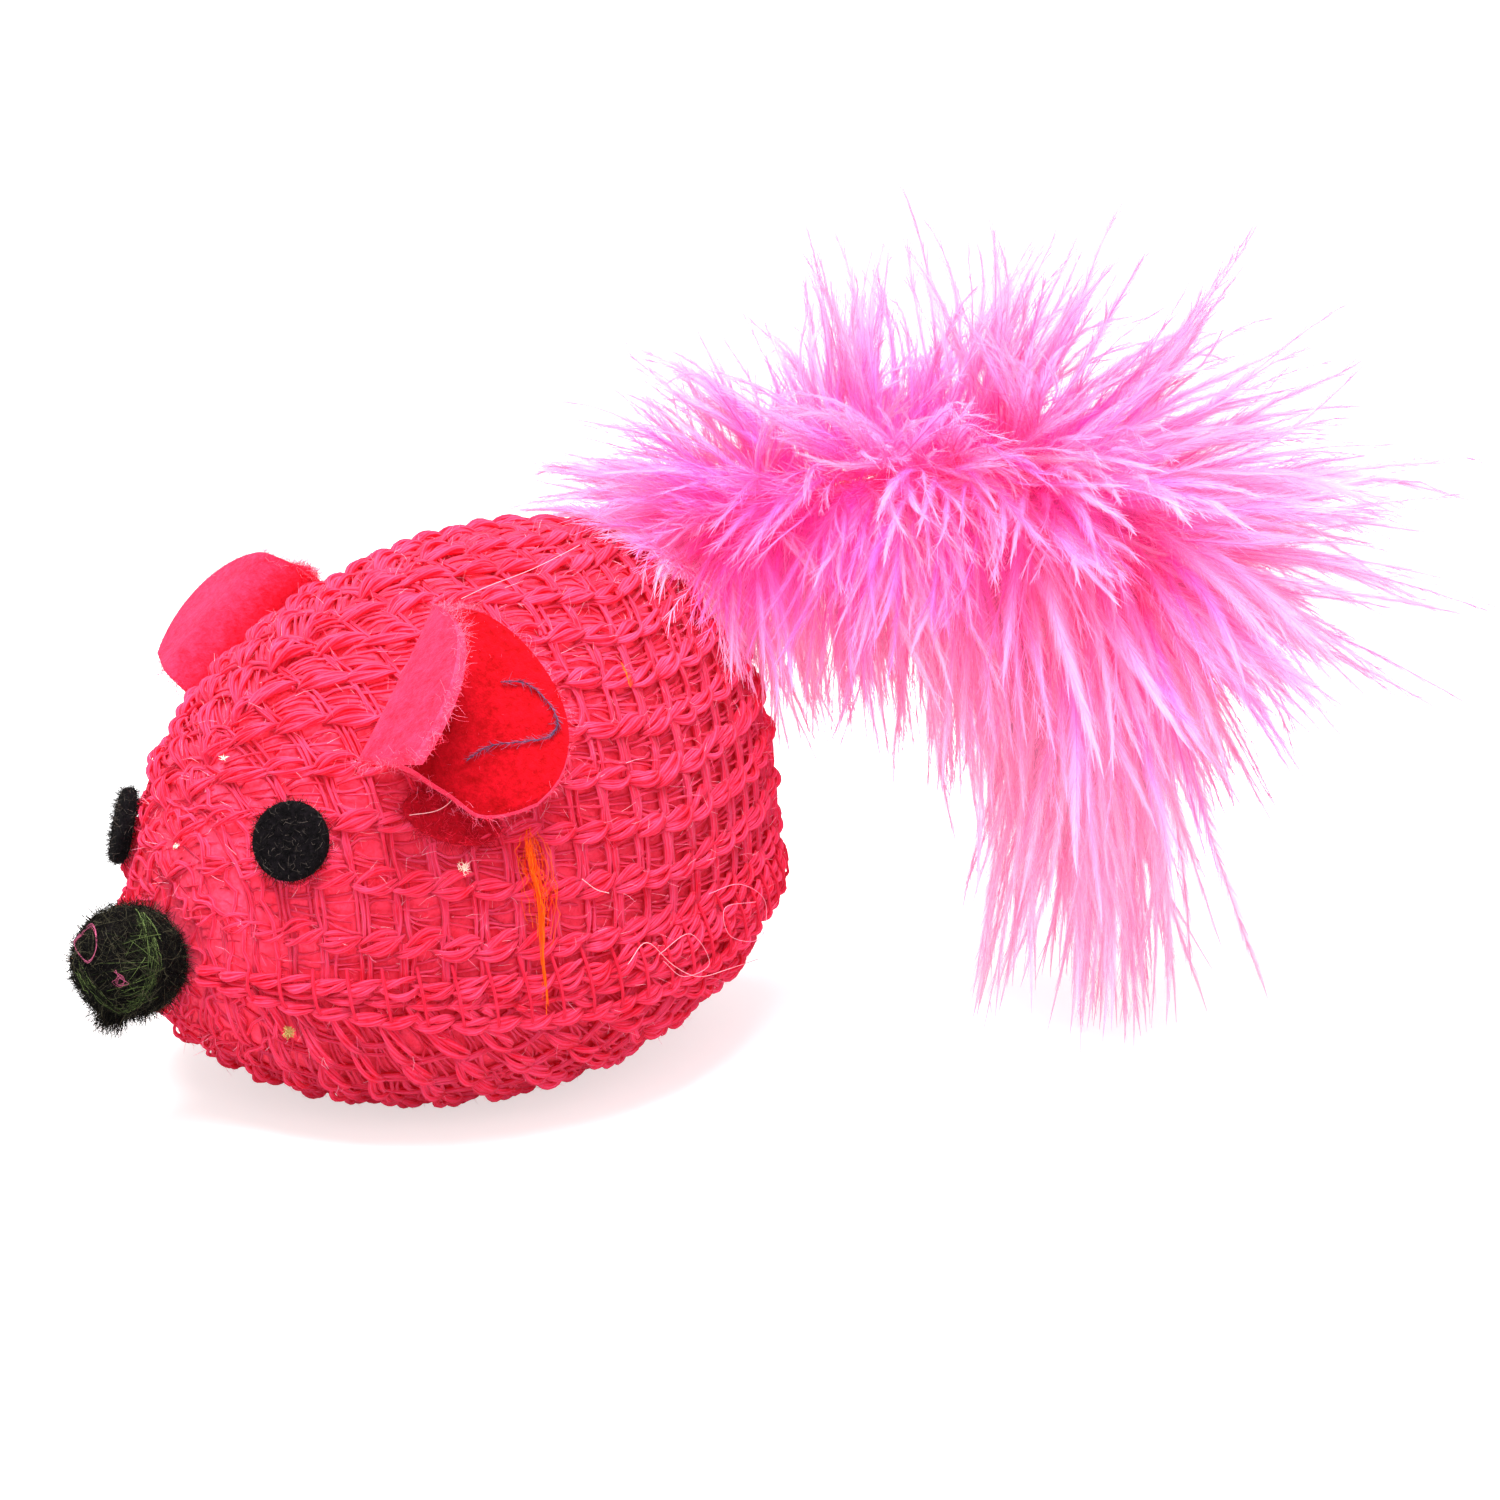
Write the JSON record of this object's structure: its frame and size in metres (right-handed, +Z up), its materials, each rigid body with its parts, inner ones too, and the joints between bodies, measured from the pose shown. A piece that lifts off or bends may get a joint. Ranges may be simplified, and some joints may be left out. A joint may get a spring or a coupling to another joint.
{
  "type": "catnip mouse",
  "caption": "Stuffed cat toy mouse with a pink mesh-knit cover, red felt ears, black felt eyes, a dark woolly nose and a downy pink feather tail.",
  "frame": {"origin": "the middle of the flat under the belly, on the surface the mouse lies on", "axes": "+Z up, the nose points along -Y and the tail leaves towards +Y, +X is the mouse's own left"},
  "size_m": [0.09, 0.1222, 0.0717],
  "materials": {
    "knit_yarn": "open mesh of brushed yarn",
    "lining_cloth": "matte woven cloth",
    "fibre_fill": "loose fibre",
    "pouch_cloth": "matte non-woven cloth",
    "dried_herb": "loose dry crumbs",
    "ear_felt": "fuzzy felt",
    "eye_felt": "fuzzy felt",
    "nose_wool": "loose wool pile",
    "clear_glue": "clear set glue",
    "sewing_thread": "spun thread",
    "feather_down": "soft down"
  },
  "bodies": {
    "body": {"upper_knit_cover": "knit_yarn", "belly_knit_panel": "knit_yarn", "upper_lining": "lining_cloth", "belly_lining": "lining_cloth", "upper_stuffing": "fibre_fill", "belly_stuffing": "fibre_fill", "pouch_top_sheet": "pouch_cloth", "pouch_bottom_sheet": "pouch_cloth", "catnip_filling": "dried_herb", "belly_seam_thread": "sewing_thread", "nose_pompom": "nose_wool", "nose_glue": "clear_glue", "eye_left": "eye_felt", "eye_left_glue": "clear_glue", "eye_right": "eye_felt", "eye_right_glue": "clear_glue", "ear_left_glue": "clear_glue", "ear_right_glue": "clear_glue"},
    "ear_left": {"ear_left": "ear_felt"},
    "ear_right": {"ear_right": "ear_felt"},
    "tail_base": {"tail_glue_bead": "clear_glue"},
    "tail_plume": {"tail_binding_thread": "sewing_thread", "tail_feather_upper": "feather_down", "tail_feather_near": "feather_down", "tail_feather_far": "feather_down"}
  },
  "joints": [
    {"name": "ear_left_flap", "type": "hinge", "parent": "body", "child": "ear_left", "pos_m": [0.02133, -0.00967, 0.03157], "axis": [0.4083, 0.9011, -0.1461], "range_deg": [0, 40], "stiffness_Nm_per_rad": 0.0015},
    {"name": "ear_right_flap", "type": "hinge", "parent": "body", "child": "ear_right", "pos_m": [-0.02315, -0.00468, 0.03055], "axis": [0.3254, -0.8438, 0.4268], "range_deg": [-5, 40], "stiffness_Nm_per_rad": 0.0015},
    {"name": "tail_swing", "type": "hinge", "parent": "body", "child": "tail_base", "pos_m": [0, 0.02804, 0.04426], "axis": [0, 0, 1], "range_deg": [-30, 80], "stiffness_Nm_per_rad": 0.006},
    {"name": "tail_lift", "type": "hinge", "parent": "tail_base", "child": "tail_plume", "pos_m": [0, 0.02804, 0.04426], "axis": [0.6428, -0.766, 0], "range_deg": [-3, 30], "stiffness_Nm_per_rad": 0.006}
  ]
}
